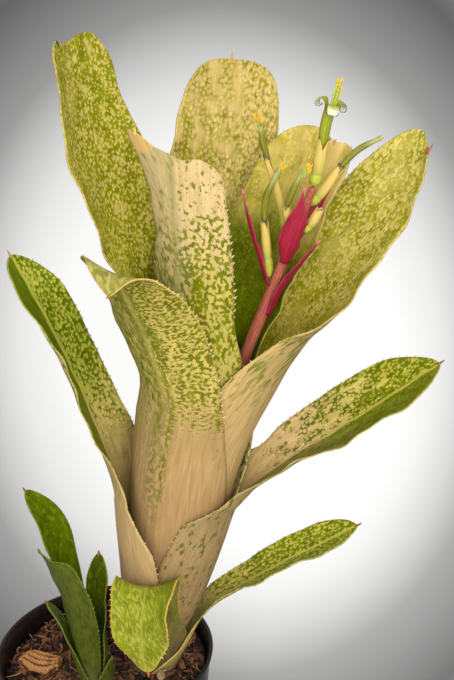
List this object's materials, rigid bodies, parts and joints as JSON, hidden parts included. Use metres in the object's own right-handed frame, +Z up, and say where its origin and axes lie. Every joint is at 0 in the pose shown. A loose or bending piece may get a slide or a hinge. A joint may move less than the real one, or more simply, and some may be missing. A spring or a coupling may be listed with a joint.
{
  "type": "potted billbergia",
  "caption": "Potted tubular bromeliad leaning to the right, with mottled green and cream strap leaves, a spike of crimson bracts and slim flowers, a young offset and a plain pot.",
  "frame": {"origin": "centre of the pot's underside", "axes": "+Z up, +Y away from the viewer of the picture, +X to the right, the side the plant leans to"},
  "size_m": [0.2677, 0.1635, 0.4851],
  "materials": {
    "pot": "satin black",
    "mix": "rough moist bark mix",
    "bark": "rough dry bark",
    "leaf": "satin, green mottled with cream, tan at the base",
    "sheath": "dry, tan",
    "pup": "satin dark green",
    "stalk": "satin, rose to tan",
    "bract": "satin crimson",
    "calyx": "satin cream and green",
    "petal": "soft olive green",
    "anther": "powdery orange yellow"
  },
  "bodies": {
    "root": {"bark_chunk": "bark", "bark_stick": "bark", "bract_back": "bract", "bract_centre": "bract", "bract_left": "bract", "bract_low_right": "bract", "dry_scrap": "sheath", "flower_bud_calyx": "calyx", "flower_centre_left_calyx": "calyx", "flower_centre_left_corolla": "petal", "flower_left_calyx": "calyx", "flower_left_corolla": "petal", "flower_low_left_calyx": "calyx", "flower_low_left_corolla": "petal", "flower_open_calyx": "calyx", "flower_open_corolla": "petal", "flower_open_stamens": "anther", "flower_right_calyx": "calyx", "flower_right_corolla": "petal", "flower_stalk": "stalk", "leaf_back": "leaf", "leaf_back_right": "leaf", "leaf_big_right": "leaf", "leaf_centre_left": "leaf", "leaf_front_drooping": "leaf", "leaf_front_left": "leaf", "leaf_left": "leaf", "leaf_low_right": "leaf", "leaf_right": "leaf", "leaf_tall_back": "leaf", "leaf_tall_left": "leaf", "nursery_pot": "pot", "potting_mix": "mix", "pup_leaf_base": "pup", "pup_leaf_front": "pup", "pup_leaf_low_left": "pup", "pup_leaf_right": "pup", "pup_leaf_tall": "pup", "pup_stem": "pup", "stem": "sheath"}
  },
  "joints": []
}
